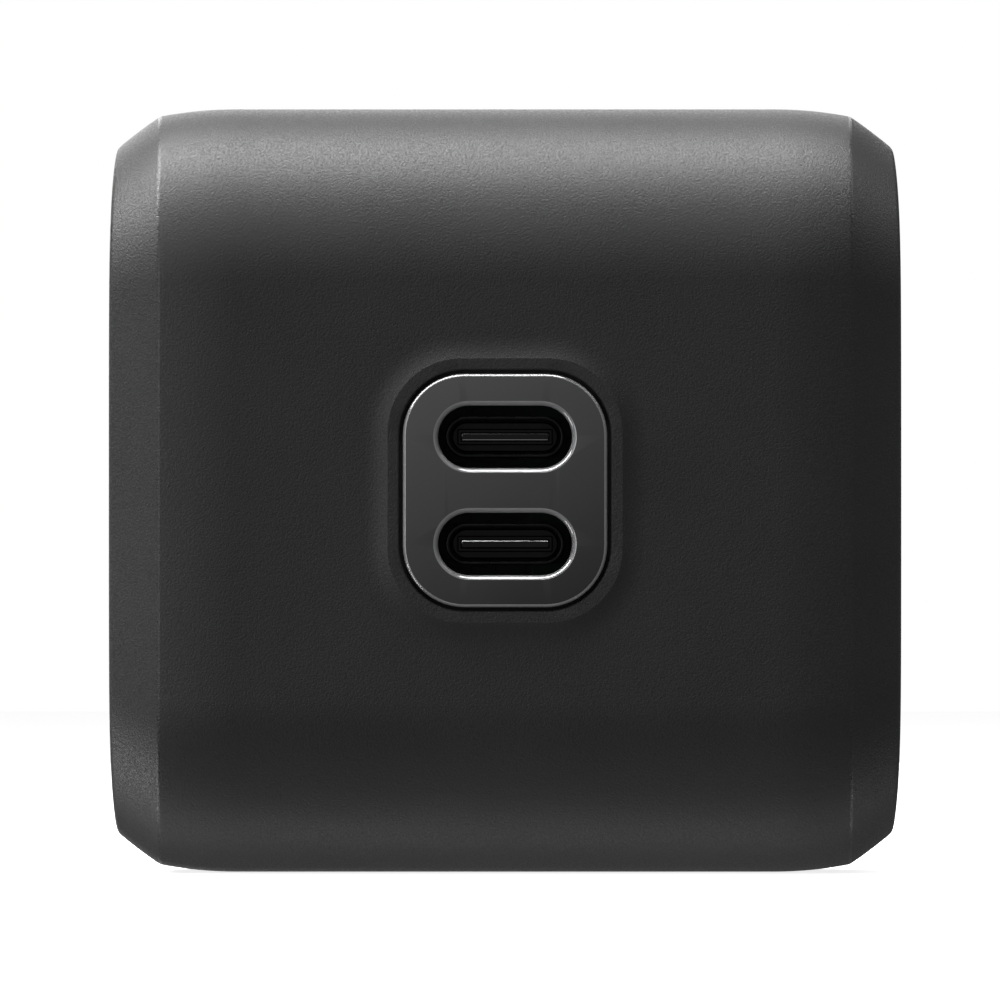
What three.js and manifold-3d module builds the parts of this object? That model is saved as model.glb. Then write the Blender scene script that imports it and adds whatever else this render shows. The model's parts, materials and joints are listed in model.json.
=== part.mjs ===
// A mains wall charger with two USB sockets, built as its separate pieces.
// Millimetres. +Z is up, +Y points at the wall. The origin is on the flat back face, half way up it.
import * as THREE from 'three';
import { mergeVertices } from 'three/addons/utils/BufferGeometryUtils.js';
import Module from 'manifold-3d';

const wasm = await Module();
wasm.setup();

// Body
const WIDTH = 60;
const HEIGHT = 57.8;
const DEPTH = 33;
const FRONT_ROUND = 13; // radius of the long edges at the top and bottom of the front
const BACK_ROUND = 3.5;
const CROWN_RUN = 5.7; // the surface dips over this length before it meets the end chamfer
const CROWN_DROP = 0.55;
const CHAMFER_RUN = 3.9;
const CHAMFER_DROP = 2.6;
const WALL = 2;
const BACK_WALL = 2.2;
const GAP = 0.3; // between two separate pieces
const SEAM_Y = -6.5; // where the two shells meet
const LIP_LENGTH = 3.4;
const LIP_WALL = 1;

// Port collar, bezel and sockets
const COLLAR = { width: 17.7, height: 19.9, round: 5.55, rise: 0.42, slope: 1.9 };
const BEZEL = { width: 15.4, height: 17.6, round: 4.65, edge: 0.2, gap: 0.27 };
const BEZEL_FLANGE = { margin: 1.8, thick: 1 };
const MOUTH = { width: 10.1, height: 4.7, edge: 0.36 };
const PORT_PITCH = 8.07;
const SHELL_INSIDE = { width: 8.34, height: 2.56 };
const SHELL_WALL = 0.3;
const SHELL_RECESS = 0.9; // from the bezel's face back to the socket's rim
const TONGUE = { width: 6.69, thick: 0.7, recess: 1.1, baseThick: 1.2, baseLength: 2.2 };

// Folding plug. Y and Z of the hinge axis, which runs along X.
const HINGE_Y = -3.7;
const HINGE_Z = -9;
const DRUM = { radius: 5, flat: 3.5, length: 19 };
const PIVOT = { radius: 2, length: 2.8, play: 0.1 };
const BLADE = { spacing: 12.7, width: 6.35, thick: 1.5, reach: 20, tip: 1.2, hole: 1.5, holeAt: 15.2 };
const BLADE_NECK = 5;
const BLADE_TAIL = { width: 2.4, reach: 7 };
const SLOT = { width: 2.3, floor: -7.5, reach: 21 };
const SCOOP = { radius: 7, axisY: 3.6, at: 17.5, width: 19.6 };
const WELL = { halfWidth: 10.9, front: -8.8, top: 24.2 };

// Boards
const MAIN_BOARD = { width: 52, height: 48, front: -16, thick: 1.6 };
const PORT_BOARD = { width: 22, height: 24, front: -23, thick: 1.2 };
const PARTS_Y = MAIN_BOARD.front - GAP; // back of everything that stands on the main board

const FRONT_Y = -DEPTH;
const FACE_Y = FRONT_Y - COLLAR.rise;

const finish = (color, roughness, metalness = 0) =>
  new THREE.MeshStandardMaterial({ color, roughness, metalness });

const CASE = finish(0x2b2b2c, 0.6);
const BEZEL_PLASTIC = finish(0x3a3a3c, 0.35);
const BLACK_PLASTIC = finish(0x161617, 0.45);
const STEEL = finish(0x8f9296, 0.3, 1);
const NICKEL = finish(0xc9c6be, 0.25, 1);
const BOARD_GREEN = finish(0x1d4a33, 0.5);
const FERRITE = finish(0x2f2e33, 0.7);
const TAPE = finish(0xc9a53c, 0.5);
const CAN = finish(0x2a2f52, 0.45);
const BARE_CAN = finish(0xb9bcc0, 0.3, 1);
const YELLOW_BOX = finish(0xc8b03a, 0.5);
const CHIP = finish(0x1c1c1e, 0.6);
const ALUMINIUM = finish(0xb4b7ba, 0.4, 1);
const FILM = finish(0xd9d4c2, 0.4);
const COPPER_ALLOY = finish(0xc79a55, 0.3, 1);
const BLACK_WIRE = finish(0x1a1a1a, 0.5);

const charger = new THREE.Group();

function addPiece(name, geometry, material) {
  const mesh = new THREE.Mesh(geometry, material);
  mesh.name = name;
  charger.add(mesh);
}

// Joins and cuts

function toSolid(geometry) {
  const bare = geometry.clone();
  bare.deleteAttribute('normal');
  bare.deleteAttribute('uv');
  const merged = mergeVertices(bare, 1e-5);
  return new wasm.Manifold(new wasm.Mesh({
    numProp: 3,
    vertProperties: new Float32Array(merged.attributes.position.array),
    triVerts: new Uint32Array(merged.index.array),
  }));
}

function toGeometry(solid) {
  const mesh = solid.getMesh();
  const geometry = new THREE.BufferGeometry();
  geometry.setAttribute('position', new THREE.BufferAttribute(mesh.vertProperties, 3));
  geometry.setIndex(new THREE.BufferAttribute(mesh.triVerts, 1));
  geometry.computeVertexNormals();
  return geometry;
}

function join(first, ...others) {
  return toGeometry(others.reduce((sum, piece) => sum.add(toSolid(piece)), toSolid(first)));
}

function cut(first, ...others) {
  return toGeometry(others.reduce((rest, piece) => rest.subtract(toSolid(piece)), toSolid(first)));
}

function keepInside(first, second) {
  return toGeometry(toSolid(first).intersect(toSolid(second)));
}

// Simple shapes, each given by its limits or its middle

function block([x0, x1], [y0, y1], [z0, z1]) {
  const box = new THREE.BoxGeometry(x1 - x0, y1 - y0, z1 - z0);
  return box.translate((x0 + x1) / 2, (y0 + y1) / 2, (z0 + z1) / 2);
}

// A plate whose outline is drawn in X and Z, between two depths.
function plate(outline, y0, y1, options = {}) {
  const bevel = options.bevelThickness ?? 0;
  const solid = new THREE.ExtrudeGeometry(outline, {
    depth: y1 - y0 - 2 * bevel, curveSegments: 6, bevelEnabled: bevel > 0, bevelSegments: 1, ...options,
  });
  return solid.rotateX(Math.PI / 2).translate(0, y1 - bevel, 0);
}

// A bar whose outline is drawn in Y and Z, between two places along X.
function bar(outline, x0, x1) {
  const solid = new THREE.ExtrudeGeometry(outline, { depth: x1 - x0, curveSegments: 8, bevelEnabled: false });
  solid.applyMatrix4(new THREE.Matrix4().makeBasis(
    new THREE.Vector3(0, 1, 0), new THREE.Vector3(0, 0, 1), new THREE.Vector3(1, 0, 0)));
  return solid.translate(x0, 0, 0);
}

function rodAlongX(radius, x0, x1, y, z, sides = 32) {
  const rod = new THREE.CylinderGeometry(radius, radius, x1 - x0, sides);
  return rod.rotateZ(-Math.PI / 2).translate((x0 + x1) / 2, y, z);
}

function rodAlongY(radius, y0, y1, x, z, sides = 20) {
  return new THREE.CylinderGeometry(radius, radius, y1 - y0, sides).translate(x, (y0 + y1) / 2, z);
}

// A turned piece: its profile is [radius, y] points that start and end on the axis.
function turned(profile, x, z, sides = 20) {
  const points = profile.map(([radius, y]) => new THREE.Vector2(radius, y));
  return new THREE.LatheGeometry(points, sides).translate(x, 0, z);
}

function roundedRectangle(width, height, round, middleX = 0, middleY = 0) {
  const right = width / 2;
  const top = height / 2;
  const shape = new THREE.Shape();
  shape.absarc(middleX + right - round, middleY + top - round, round, 0, Math.PI / 2);
  shape.absarc(middleX - right + round, middleY + top - round, round, Math.PI / 2, Math.PI);
  shape.absarc(middleX - right + round, middleY - top + round, round, Math.PI, 1.5 * Math.PI);
  shape.absarc(middleX + right - round, middleY - top + round, round, 1.5 * Math.PI, 2 * Math.PI);
  return shape;
}

function rectangle(width, height, middleX = 0, middleY = 0) {
  return polygon([[-1, -1], [1, -1], [1, 1], [-1, 1]].map(
    ([x, y]) => [middleX + x * width / 2, middleY + y * height / 2]));
}

function polygon(points) {
  return new THREE.Shape(points.map(([x, y]) => new THREE.Vector2(x, y)));
}

// Shells

// The side outline in Y and Z: a large round at the front's top and bottom, a small one at the back's.
function sideOutline() {
  const top = HEIGHT / 2;
  const shape = new THREE.Shape();
  shape.absarc(-BACK_ROUND, top - BACK_ROUND, BACK_ROUND, 0, Math.PI / 2);
  shape.absarc(FRONT_Y + FRONT_ROUND, top - FRONT_ROUND, FRONT_ROUND, Math.PI / 2, Math.PI);
  shape.absarc(FRONT_Y + FRONT_ROUND, -top + FRONT_ROUND, FRONT_ROUND, Math.PI, 1.5 * Math.PI);
  shape.absarc(-BACK_ROUND, -top + BACK_ROUND, BACK_ROUND, 1.5 * Math.PI, 2 * Math.PI);
  return shape;
}

// How far the outline has drawn in at each place along X, for a block that lies `skin` inside the body.
function endStations(skin) {
  const chamferStart = WIDTH / 2 - CHAMFER_RUN;
  const crownStart = chamferStart - CROWN_RUN;
  const half = [
    { x: crownStart, inset: skin },
    { x: crownStart + CROWN_RUN / 2, inset: skin + CROWN_DROP / 4 },
    { x: chamferStart - 0.4 * skin, inset: skin + CROWN_DROP },
    { x: WIDTH / 2 - skin, inset: 0.6 * skin + CROWN_DROP + CHAMFER_DROP },
  ];
  const mirrored = half.map(({ x, inset }) => ({ x: -x, inset })).reverse();
  return [...mirrored, ...half];
}

// The whole body as one block, `skin` inside its outer surface.
function bodyBlock(skin) {
  const stations = endStations(skin);
  const steps = stations.length - 1;
  const solid = new THREE.ExtrudeGeometry(sideOutline(), {
    depth: steps, steps, curveSegments: 14, bevelEnabled: false,
  });
  const position = solid.attributes.position;
  const middleY = FRONT_Y / 2;
  for (let i = 0; i < position.count; i += 1) {
    const { x, inset } = stations[Math.round(position.getZ(i))];
    const y = middleY + (position.getX(i) - middleY) * (1 - inset / (DEPTH / 2));
    const z = position.getY(i) * (1 - inset / (HEIGHT / 2));
    position.setXYZ(i, x, y, z);
  }
  return solid;
}

const ACROSS = [-WIDTH, WIDTH];
const UP_AND_DOWN = [-HEIGHT, HEIGHT];

function portCollar() {
  const outline = roundedRectangle(COLLAR.width, COLLAR.height, COLLAR.round);
  return plate(outline, FACE_Y, FRONT_Y + 1.5, {
    bevelThickness: COLLAR.rise, bevelSize: COLLAR.slope, curveSegments: 8,
  });
}

function frontHousing() {
  const hole = roundedRectangle(
    BEZEL.width + 2 * BEZEL.gap, BEZEL.height + 2 * BEZEL.gap, BEZEL.round + BEZEL.gap);
  const stop = { y: [MAIN_BOARD.front - GAP - 1.8, MAIN_BOARD.front - GAP], right: [24, 28.4], top: [19, 22] };
  const flip = ([low, high]) => [-high, -low];
  const boardStops = [
    block(stop.right, stop.y, stop.top), block(flip(stop.right), stop.y, stop.top),
    block(stop.right, stop.y, flip(stop.top)),
  ];
  const hollow = cut(join(bodyBlock(0), portCollar()), bodyBlock(WALL));
  return cut(
    join(hollow, ...boardStops),
    block(ACROSS, [SEAM_Y - GAP, DEPTH], UP_AND_DOWN),
    plate(hole, FACE_Y - 1, FRONT_Y + WALL + 1));
}

// The back shell with the drum's window, the blades' slots, the finger scoop and the drum's half bearings.
function rearCover() {
  const lipSkin = WALL + GAP;
  const lip = keepInside(bodyBlock(lipSkin), block(ACROSS, [SEAM_Y - LIP_LENGTH, SEAM_Y + 1], UP_AND_DOWN));
  const outer = keepInside(bodyBlock(0), block(ACROSS, [SEAM_Y, DEPTH], UP_AND_DOWN));
  const backPocket = block([-23, 23], [SEAM_Y, -BACK_WALL], [-21, 21]);
  const shell = cut(join(outer, lip), bodyBlock(lipSkin + LIP_WALL), backPocket);

  const windowHalf = DRUM.radius + GAP;
  const windowEdge = DRUM.length / 2 + GAP;
  const wellBlock = block(
    [-WELL.halfWidth, WELL.halfWidth], [WELL.front, -BACK_WALL + 0.5],
    [HINGE_Z + windowHalf, HINGE_Z + WELL.top]);
  const bearings = [-1, 1].map((side) => block(
    side > 0 ? [windowEdge, windowEdge + PIVOT.length] : [-windowEdge - PIVOT.length, -windowEdge],
    [HINGE_Y, -BACK_WALL + 0.5], [HINGE_Z - 3.6, HINGE_Z + 3.6]));
  const posts = [-1, 1].map((side) => rodAlongY(2.4, -6, -BACK_WALL + 0.5, side * SCREW_X, HINGE_Z));

  const window = block([-windowEdge, windowEdge], [-DEPTH / 3, 1], [HINGE_Z - windowHalf, HINGE_Z + windowHalf]);
  const slots = [-1, 1].map((side) => block(
    [side * BLADE.spacing / 2 - SLOT.width / 2, side * BLADE.spacing / 2 + SLOT.width / 2],
    [SLOT.floor, 1], [HINGE_Z, HINGE_Z + SLOT.reach]));
  const scoop = rodAlongX(
    SCOOP.radius, -SCOOP.width / 2, SCOOP.width / 2, SCOOP.axisY, HINGE_Z + SCOOP.at, 40);
  const pivotBore = rodAlongX(
    PIVOT.radius + PIVOT.play, -windowEdge - PIVOT.length - 1, windowEdge + PIVOT.length + 1, HINGE_Y, HINGE_Z);
  const screwHoles = [-1, 1].map((side) => rodAlongY(1.1, -7, -2.6, side * SCREW_X, HINGE_Z, 12));
  return cut(
    join(shell, wellBlock, ...bearings, ...posts), window, ...slots, scoop, pivotBore, ...screwHoles);
}

// The plate with the two openings. Its flange stands behind the front wall.
function portBezel() {
  const face = plate(
    roundedRectangle(BEZEL.width, BEZEL.height, BEZEL.round), FACE_Y, FRONT_Y + WALL + GAP + 0.5,
    { bevelThickness: BEZEL.edge, bevelSize: BEZEL.edge, bevelOffset: -BEZEL.edge, curveSegments: 8 });
  const flangeBack = FRONT_Y + WALL + GAP;
  const flange = plate(
    roundedRectangle(
      BEZEL.width + 2 * BEZEL_FLANGE.margin, BEZEL.height + 2 * BEZEL_FLANGE.margin,
      BEZEL.round + BEZEL_FLANGE.margin),
    flangeBack, flangeBack + BEZEL_FLANGE.thick);
  const openings = [-1, 1].flatMap((level) => {
    const z = level * PORT_PITCH / 2;
    const mouth = roundedRectangle(MOUTH.width, MOUTH.height, MOUTH.height / 2, 0, z);
    const lead = plate(mouth, FACE_Y - 1, FACE_Y + MOUTH.edge, {
      bevelThickness: MOUTH.edge, bevelSize: MOUTH.edge, curveSegments: 8,
    });
    return [plate(mouth, FACE_Y - 1, flangeBack + 3, { curveSegments: 8 }), lead];
  });
  return cut(join(face, flange), ...openings);
}

// Sockets

function socketShell(z) {
  const front = FACE_Y + SHELL_RECESS;
  const back = PORT_BOARD.front - GAP;
  const outer = roundedRectangle(
    SHELL_INSIDE.width + 2 * SHELL_WALL, SHELL_INSIDE.height + 2 * SHELL_WALL,
    SHELL_INSIDE.height / 2 + SHELL_WALL, 0, z);
  const inner = roundedRectangle(SHELL_INSIDE.width, SHELL_INSIDE.height, SHELL_INSIDE.height / 2, 0, z);
  return cut(plate(outer, front, back), plate(inner, front - 1, back + 1));
}

// The contact tongue stands on a base block that fills the back of the shell.
function socketTongue(z) {
  const front = FACE_Y + SHELL_RECESS + TONGUE.recess;
  const back = PORT_BOARD.front - GAP;
  const baseHeight = SHELL_INSIDE.height - GAP;
  const base = roundedRectangle(SHELL_INSIDE.width - GAP, baseHeight, baseHeight / 2 - 0.01, 0, z);
  return join(
    plate(rectangle(TONGUE.width, TONGUE.thick, 0, z), front, back - 1),
    plate(rectangle(TONGUE.width + 0.5, TONGUE.baseThick, 0, z), back - 2 - TONGUE.baseLength, back - 1),
    plate(base, back - 2.2, back));
}

// Folding plug

const bladeX = (side) => side * BLADE.spacing / 2;

function bladeOutline(extra = 0) {
  const tip = BLADE.reach;
  const half = BLADE.width / 2;
  const neck = BLADE_NECK / 2 + extra;
  const tail = BLADE_TAIL.width / 2 + extra;
  const shoulder = DRUM.flat + 0.15;
  const points = [
    [-BLADE_TAIL.reach, -tail], [-3, -tail], [-3, -neck], [shoulder, -neck], [shoulder, -half],
    [tip - BLADE.tip, -half], [tip, -half + BLADE.tip], [tip, half - BLADE.tip], [tip - BLADE.tip, half],
    [shoulder, half], [shoulder, neck], [-3, neck], [-3, tail], [-BLADE_TAIL.reach, tail],
  ];
  return polygon(points.map(([y, z]) => [HINGE_Y + y, HINGE_Z + z]));
}

function blade(side) {
  const x = bladeX(side);
  const flat = bar(bladeOutline(), x - BLADE.thick / 2, x + BLADE.thick / 2);
  return cut(flat, rodAlongX(BLADE.hole, x - 2, x + 2, HINGE_Y + BLADE.holeAt, HINGE_Z, 20));
}

function plugCarrier() {
  const half = DRUM.length / 2;
  const drum = rodAlongX(DRUM.radius, -half, half, HINGE_Y, HINGE_Z, 48);
  const faceCut = block([-half - 1, half + 1], [HINGE_Y + DRUM.flat, HINGE_Y + 9], [HINGE_Z - 9, HINGE_Z + 9]);
  const footCut = block([-half - 1, half + 1], [HINGE_Y - 9, HINGE_Y + 9], [HINGE_Z - 9, HINGE_Z - DRUM.flat]);
  const pivots = rodAlongX(PIVOT.radius, -half - PIVOT.length, half + PIVOT.length, HINGE_Y, HINGE_Z);
  const bladeHoles = [-1, 1].map((side) => bar(
    bladeOutline(0.15), bladeX(side) - BLADE.thick / 2 - 0.15, bladeX(side) + BLADE.thick / 2 + 0.15));
  return cut(join(cut(drum, faceCut, footCut), pivots), ...bladeHoles);
}

const SCREW_X = 15.2;
const BRIDGE_Y = [-13.2, -11.7];
const EAR_Y = [-7.8, -6.3];

// The bracket closes the drum's bearings from the inside and carries the leaf springs.
function plugRetainer() {
  const inner = DRUM.length / 2 + GAP;
  const outer = inner + PIVOT.length;
  const bridge = block([-outer, outer], BRIDGE_Y, [HINGE_Z - 4, HINGE_Z + 4]);
  const cheeks = [-1, 1].map((side) => block(
    side > 0 ? [inner, outer] : [-outer, -inner], [BRIDGE_Y[0], HINGE_Y - GAP], [HINGE_Z - 3.6, HINGE_Z + 3.6]));
  const ears = [-1, 1].map((side) => block(
    side > 0 ? [outer - 0.5, SCREW_X + 2.6] : [-SCREW_X - 2.6, -outer + 0.5], EAR_Y,
    [HINGE_Z - 2.6, HINGE_Z + 2.6]));
  const bore = rodAlongX(PIVOT.radius + PIVOT.play, -outer - 1, outer + 1, HINGE_Y, HINGE_Z);
  const holes = [-1, 1].map((side) => rodAlongY(1.2, EAR_Y[0] - 1, EAR_Y[1] + 1, side * SCREW_X, HINGE_Z, 12));
  return cut(join(bridge, ...cheeks, ...ears), bore, ...holes);
}

function retainerScrew(side) {
  const seat = EAR_Y[0] - GAP;
  return turned(
    [[0, -3.4], [0.5, -3.4], [0.8, -3.9], [0.8, seat], [1.9, seat], [1.9, seat - 0.7], [1.5, seat - 1.2],
      [0, seat - 1.2]].reverse(),
    side * SCREW_X, HINGE_Z, 16);
}

const SPRING_FACE = BRIDGE_Y[1] + GAP;
const SPRING_FOOT = HINGE_Z - 10;

function contactSpring(side) {
  const thick = 0.4;
  const strip = polygon([
    [SPRING_FACE, HINGE_Z + 2.5], [SPRING_FACE, SPRING_FOOT + thick], [SPRING_FACE - 1.6, SPRING_FOOT + thick],
    [SPRING_FACE - 1.6, SPRING_FOOT], [SPRING_FACE + thick, SPRING_FOOT], [SPRING_FACE + thick, HINGE_Z + 2.5],
  ]);
  return bar(strip, bladeX(side) - 1.5, bladeX(side) + 1.5);
}

// A lead from the leaf spring's foot, past the insulating sheet, to the back of the main board.
function mainsWire(side) {
  const boardBack = MAIN_BOARD.front + MAIN_BOARD.thick;
  const path = new THREE.CatmullRomCurve3([
    new THREE.Vector3(side * 6.35, SPRING_FACE - 0.8, SPRING_FOOT - 1.1),
    new THREE.Vector3(side * 8.2, SPRING_FACE - 0.6, SPRING_FOOT - 2.4),
    new THREE.Vector3(side * 13.5, SPRING_FACE - 0.3, SPRING_FOOT - 1.2),
    new THREE.Vector3(side * 18.6, SPRING_FACE - 0.3, SPRING_FOOT + 2),
    new THREE.Vector3(side * 20.3, boardBack + 1.6, SPRING_FOOT + 3.3),
    new THREE.Vector3(side * 20.4, boardBack + GAP + 0.1, SPRING_FOOT + 3.4),
  ]);
  const ring = new THREE.Shape().absarc(0, 0, 0.7, 0, 2 * Math.PI);
  return new THREE.ExtrudeGeometry(ring, { steps: 16, curveSegments: 4, extrudePath: path });
}

// Electronics

function board({ width, height, front, thick }) {
  return plate(roundedRectangle(width, height, 1.5), front, front + thick, { curveSegments: 3 });
}

const TRANSFORMER = { x: -18.4, z: -3, width: 14, height: 21, depth: 11.5, limb: 3, post: 5 };

// One E-shaped ferrite half, drawn in Y and Z, with its limbs towards the middle.
function ferriteHalf(side) {
  const { x, z, height, depth, width, limb, post } = TRANSFORMER;
  const outer = width / 2;
  const back = limb;
  const meet = GAP / 2;
  const half = height / 2;
  const points = [
    [outer, -half], [outer, half], [meet, half], [meet, half - limb], [outer - back, half - limb],
    [outer - back, post / 2], [meet, post / 2], [meet, -post / 2], [outer - back, -post / 2],
    [outer - back, -half + limb], [meet, -half + limb], [meet, -half],
  ];
  const drawn = points.map(([px, pz]) => [x + side * px, z + pz]);
  return plate(polygon(side > 0 ? drawn : drawn.reverse()), PARTS_Y - depth, PARTS_Y);
}

// The taped winding around the middle post, as a frame that stands clear of the ferrite.
function transformerWinding() {
  const { x, z, height, width, limb, post, depth } = TRANSFORMER;
  const outline = roundedRectangle(
    width - 2 * limb - 2 * GAP, height - 2 * limb - 2 * GAP, 1.5, x, z);
  const hole = rectangle(width, post + 2 * GAP, x, z);
  return cut(
    plate(outline, PARTS_Y - depth - 1.2, PARTS_Y - 0.2),
    plate(hole, PARTS_Y - depth - GAP, PARTS_Y + 1));
}

// A capacitor can standing on the main board, with a rolled neck near its foot.
function canCapacitor(radius, length, x, z) {
  const back = PARTS_Y;
  return turned([
    [0, back - length], [radius - 0.5, back - length], [radius, back - length + 0.5], [radius, back - 2.4],
    [radius - 0.5, back - 2], [radius - 0.5, back - 1.6], [radius, back - 1.2], [radius, back], [0, back],
  ], x, z, 24);
}

function commonModeChoke(x, z) {
  const ring = { radius: 4.6, half: 2.2 };
  const middle = PARTS_Y - 3.4;
  const corners = [[-1, -1], [1, -1], [1, 1], [-1, 1], [-1, -1]];
  const profile = corners.map(([r, y]) => new THREE.Vector2(ring.radius + r * ring.half * 0.8, middle + y * 3));
  return new THREE.LatheGeometry(profile, 28).translate(x, 0, z);
}

function chipOnMainBoard(width, height, thick, x, z) {
  return plate(rectangle(width, height, x, z), PARTS_Y - thick, PARTS_Y);
}

function addElectronics() {
  addPiece('main_board', board(MAIN_BOARD), BOARD_GREEN);
  addPiece('port_board', board(PORT_BOARD), BOARD_GREEN);
  addPiece('insulating_sheet', block([-17, 17], [-14, -13.6], [-23, 23]), FILM);
  addPiece('transformer_core_left', ferriteHalf(-1), FERRITE);
  addPiece('transformer_core_right', ferriteHalf(1), FERRITE);
  addPiece('transformer_winding', transformerWinding(), TAPE);
  [-13.9, -3.4, 7.1].forEach((z, i) => {
    addPiece(`input_capacitor_${i + 1}`, canCapacitor(4.9, 11.5, 19.4, z), CAN);
  });
  addPiece('common_mode_choke', commonModeChoke(16.8, 18.6), COPPER_ALLOY);
  addPiece('safety_capacitor', plate(rectangle(13, 6, -15.4, 15.5), PARTS_Y - 10, PARTS_Y), YELLOW_BOX);
  addPiece('bridge_rectifier', chipOnMainBoard(8, 6, 3, 0, 19), CHIP);
  addPiece('fuse', rodAlongX(1.6, -20, -9, PARTS_Y - 1.8, 20.6, 16), BARE_CAN);
  addPiece('power_switch', chipOnMainBoard(7, 6, 1.2, 0, 6), CHIP);
  [-5, 5].forEach((x, i) => {
    addPiece(`output_capacitor_${i + 1}`, canCapacitor(3.2, 8.5, x, -19), BARE_CAN);
  });
  addPiece('board_connector', block(
    [-6, 6], [PORT_BOARD.front + PORT_BOARD.thick + GAP, PARTS_Y], [-10.5, -8]), BLACK_PLASTIC);
  const chipBack = PORT_BOARD.front + PORT_BOARD.thick + GAP;
  ['upper', 'lower'].forEach((level, i) => {
    const z = (i ? -1 : 1) * 3.4;
    addPiece(`port_controller_${level}`, block([-2.5, 2.5], [chipBack, chipBack + 0.9], [z - 2.5, z + 2.5]), CHIP);
  });
  addPiece('heat_spreader', heatSpreader(), ALUMINIUM);
}

// A folded aluminium sheet that lies along the floor of the case and stands up beside the transformer.
function heatSpreader() {
  const sheet = 0.8;
  const floor = -24.8;
  const outline = polygon([
    [-26.3, floor], [23, floor], [23, floor + sheet], [-26.3 + sheet, floor + sheet], [-26.3 + sheet, 12],
    [-26.3, 12],
  ]);
  return plate(outline, -22, PARTS_Y - 0.5);
}

addPiece('front_housing', frontHousing(), CASE);
addPiece('rear_cover', rearCover(), CASE);
addPiece('port_bezel', portBezel(), BEZEL_PLASTIC);
['upper', 'lower'].forEach((level, i) => {
  const z = (i ? -1 : 1) * PORT_PITCH / 2;
  addPiece(`usb_c_shell_${level}`, socketShell(z), STEEL);
  addPiece(`usb_c_tongue_${level}`, socketTongue(z), BLACK_PLASTIC);
});
addPiece('plug_carrier', plugCarrier(), BLACK_PLASTIC);
addPiece('plug_retainer', plugRetainer(), BLACK_PLASTIC);
['left', 'right'].forEach((name, i) => {
  const side = i ? 1 : -1;
  addPiece(`blade_${name}`, blade(side), NICKEL);
  addPiece(`retainer_screw_${name}`, retainerScrew(side), STEEL);
  addPiece(`contact_spring_${name}`, contactSpring(side), COPPER_ALLOY);
  addPiece(`mains_wire_${name}`, mainsWire(side), BLACK_WIRE);
});
addElectronics();

export default charger;
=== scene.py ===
# %% [markdown]
# # A mains wall charger with two USB sockets
# The charger is a moulded block of matt dark plastic. Its front carries a low collar, and in the collar
# sits a satin plate with two oval openings, each with a reversible USB socket behind it. Its back carries
# a folding two-blade plug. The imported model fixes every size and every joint. This script makes the fine
# surfaces and the finishes around it, piece by piece.

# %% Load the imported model
import json
import math

import bmesh
import bpy
from mathutils import Matrix, Vector


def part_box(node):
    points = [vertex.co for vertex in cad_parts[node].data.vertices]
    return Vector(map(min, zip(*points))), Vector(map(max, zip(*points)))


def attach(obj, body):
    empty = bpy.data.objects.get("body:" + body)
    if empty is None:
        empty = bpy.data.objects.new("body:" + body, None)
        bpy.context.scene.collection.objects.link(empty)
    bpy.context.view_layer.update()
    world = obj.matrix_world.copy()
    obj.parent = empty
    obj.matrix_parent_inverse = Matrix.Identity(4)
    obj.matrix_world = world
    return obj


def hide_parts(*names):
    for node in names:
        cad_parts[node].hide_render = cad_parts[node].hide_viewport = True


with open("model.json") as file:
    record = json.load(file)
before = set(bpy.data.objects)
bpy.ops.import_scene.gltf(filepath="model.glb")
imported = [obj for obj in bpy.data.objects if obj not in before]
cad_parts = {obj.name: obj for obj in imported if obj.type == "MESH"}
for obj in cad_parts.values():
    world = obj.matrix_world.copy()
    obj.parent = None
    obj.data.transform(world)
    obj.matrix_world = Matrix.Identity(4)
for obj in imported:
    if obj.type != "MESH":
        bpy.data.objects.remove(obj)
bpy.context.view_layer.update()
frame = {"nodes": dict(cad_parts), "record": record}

# %% [markdown]
# ## Sizes
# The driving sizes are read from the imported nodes' boxes, so the pieces made here fit without any trial.
# A few sizes that a box can't tell, such as a radius or the width of a chamfer, are given in metres.

# %% Sizes of the case
MM = 0.001
front_low, front_high = (Vector(corner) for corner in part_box("front_housing"))
rear_low = Vector(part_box("rear_cover")[0])
PLATE_Y = front_low.y
PLATE_PROUD = 0.42 * MM
FACE_Y = PLATE_Y + PLATE_PROUD
COLLAR_RISE = 0.34 * MM
COLLAR_Y = FACE_Y - COLLAR_RISE
HALF_WIDTH = front_high.x
HALF_HEIGHT = front_high.z
HALF_DEPTH = -FACE_Y / 2
FRONT_ROUND = 13 * MM
BACK_ROUND = 3.5 * MM
WALL = 2 * MM
BACK_WALL = 2.2 * MM
SEAM_Y = -6.5 * MM
print("case half sizes, mm:", HALF_WIDTH / MM, HALF_DEPTH / MM, HALF_HEIGHT / MM)
print("seam gap, mm:", (SEAM_Y - front_high.y) / MM)

# %% [markdown]
# ## Helpers for meshes
# Most pieces here are lofts. A rounded rectangle that faces the front is made with a vertex bevel, and
# `loft` extrudes it from one such outline to the next. `sweep` does the same with plain moves, for rows
# of edges that only shift or shrink.

# %% Lofts and sweeps
MERGE = 1e-7             # points this close become one
MIRROR_MERGE = 1e-6
ON_PLANE = 1e-8
SAME = 1e-6              # two depths this close are the same
ROUND_LIMIT = 0.4995     # the most of a side that a corner may take, so that two rounds never meet
STAND_UP = Matrix(((0, 0, 1), (1, 0, 0), (0, 1, 0)))      # takes X to Y, Y to Z and Z to X


def edges_of(items):
    return [item for item in items if isinstance(item, bmesh.types.BMEdge)]


def verts_of(items):
    return [item for item in items if isinstance(item, bmesh.types.BMVert)]


def faces_of(items):
    return [item for item in items if isinstance(item, bmesh.types.BMFace)]


def everything(bm):
    return bm.verts[:] + bm.edges[:] + bm.faces[:]


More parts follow.
